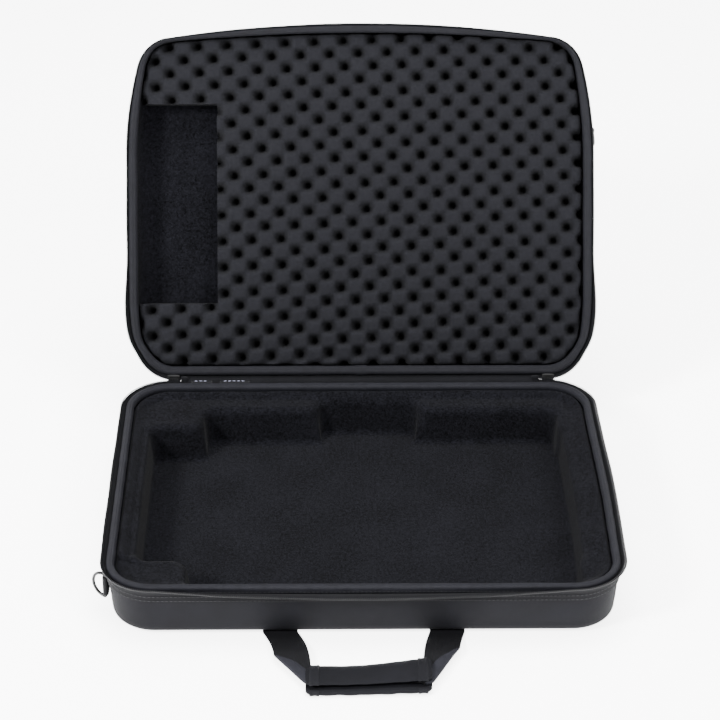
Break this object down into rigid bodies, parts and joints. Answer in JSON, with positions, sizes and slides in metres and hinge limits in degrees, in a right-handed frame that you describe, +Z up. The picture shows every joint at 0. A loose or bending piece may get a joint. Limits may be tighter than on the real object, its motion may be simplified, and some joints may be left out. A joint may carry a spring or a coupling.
{
  "type": "moulded zip carry case",
  "caption": "Semi-hard zipped carry case, open: moulded base with a fleece bay, foam-lined hinged lid, wrap-grip carry handle, D-rings and zip sliders.",
  "frame": {"origin": "centre of the flat face the base rests on", "axes": "+X to the right seen from the front, +Y from the handle side to the hinge side, +Z up"},
  "size_m": [0.5669, 0.7599, 0.4415],
  "materials": {
    "shell": "woven nylon face on moulded EVA foam",
    "insert": "moulded EVA foam with a brushed fleece face",
    "fleece": "short brushed fleece",
    "binding": "grosgrain binding tape",
    "tape": "woven zip tape",
    "coil": "nylon coil",
    "metal_dark": "black painted die casting",
    "panel": "woven nylon",
    "label": "woven satin label, blank",
    "webbing": "polypropylene webbing",
    "steel": "dark nickel plated wire",
    "pad_foam": "closed-cell foam",
    "grip_fabric": "nylon over padding",
    "hook_loop": "hook and loop strip",
    "foam": "convoluted polyurethane foam"
  },
  "bodies": {
    "base": {"base_shell": "shell", "base_insert": "insert", "base_binding": "binding", "base_zip_tape": "tape", "base_zip_coil": "coil", "zip_stops": "metal_dark", "hinge_panel": "panel", "label_large": "label", "label_small": "label", "handle_anchors": "webbing", "ring_tab_left": "webbing"},
    "lid": {"lid_shell": "shell", "lid_lining": "fleece", "lid_foam": "foam", "lid_binding": "binding", "lid_zip_tape": "tape", "lid_zip_coil": "coil", "lid_anchors": "webbing", "ring_tab_right": "webbing"},
    "handle": {"handle_strap": "webbing", "grip_pad": "pad_foam", "grip_cover": "grip_fabric", "grip_collars": "binding", "grip_hook": "hook_loop"},
    "grip_flap": {"flap_pad": "pad_foam", "flap_cover": "grip_fabric", "flap_loop": "hook_loop"},
    "lid_handle": {"lid_strap": "webbing"},
    "ring_left": {"d_ring_left": "steel"},
    "ring_right": {"d_ring_right": "steel"},
    "slider_left": {"slider_left": "metal_dark"},
    "slider_right": {"slider_right": "metal_dark"},
    "pull_left": {"pull_left": "metal_dark"},
    "pull_right": {"pull_right": "metal_dark"}
  },
  "joints": [
    {"name": "lid_hinge", "type": "hinge", "parent": "base", "child": "lid", "pos_m": [0, 0.212, 0.066], "axis": [-1, 0, 0], "range_deg": [-118, 0]},
    {"name": "handle_swing", "type": "hinge", "parent": "base", "child": "handle", "pos_m": [0, -0.198, 0.00145], "axis": [-1, 0, 0], "range_deg": [-60, 50]},
    {"name": "grip_wrap", "type": "hinge", "parent": "handle", "child": "grip_flap", "pos_m": [0, -0.2658, 0.00695], "axis": [-1, 0, 0], "range_deg": [0, 55]},
    {"name": "lid_handle_swing", "type": "hinge", "parent": "lid", "child": "lid_handle", "pos_m": [0, 0.45, 0.40381], "axis": [-1, 0, 0], "range_deg": [-150, 22]},
    {"name": "ring_left_swing", "type": "hinge", "parent": "base", "child": "ring_left", "pos_m": [-0.2733, -0.158, 0.034], "axis": [0, 0, 1], "range_deg": [-42, 110]},
    {"name": "ring_right_swing", "type": "hinge", "parent": "lid", "child": "ring_right", "pos_m": [0.2733, 0.37734, 0.3088], "axis": [0, -0.8829, 0.4695], "range_deg": [0, 140]},
    {"name": "slider_left_travel", "type": "hinge", "parent": "base", "child": "slider_left", "pos_m": [-0.22, 0.155, 0.066], "axis": [0, 0, 1], "range_deg": [0, 90]},
    {"name": "slider_right_travel", "type": "hinge", "parent": "base", "child": "slider_right", "pos_m": [0.22, 0.155, 0.066], "axis": [0, 0, -1], "range_deg": [0, 90]},
    {"name": "pull_left_swing", "type": "hinge", "parent": "slider_left", "child": "pull_left", "pos_m": [-0.22, 0.2176, 0.0635], "axis": [0, 0, -1], "range_deg": [0, 130]},
    {"name": "pull_right_swing", "type": "hinge", "parent": "slider_right", "child": "pull_right", "pos_m": [0.22, 0.2176, 0.0635], "axis": [0, 0, 1], "range_deg": [0, 130]}
  ]
}
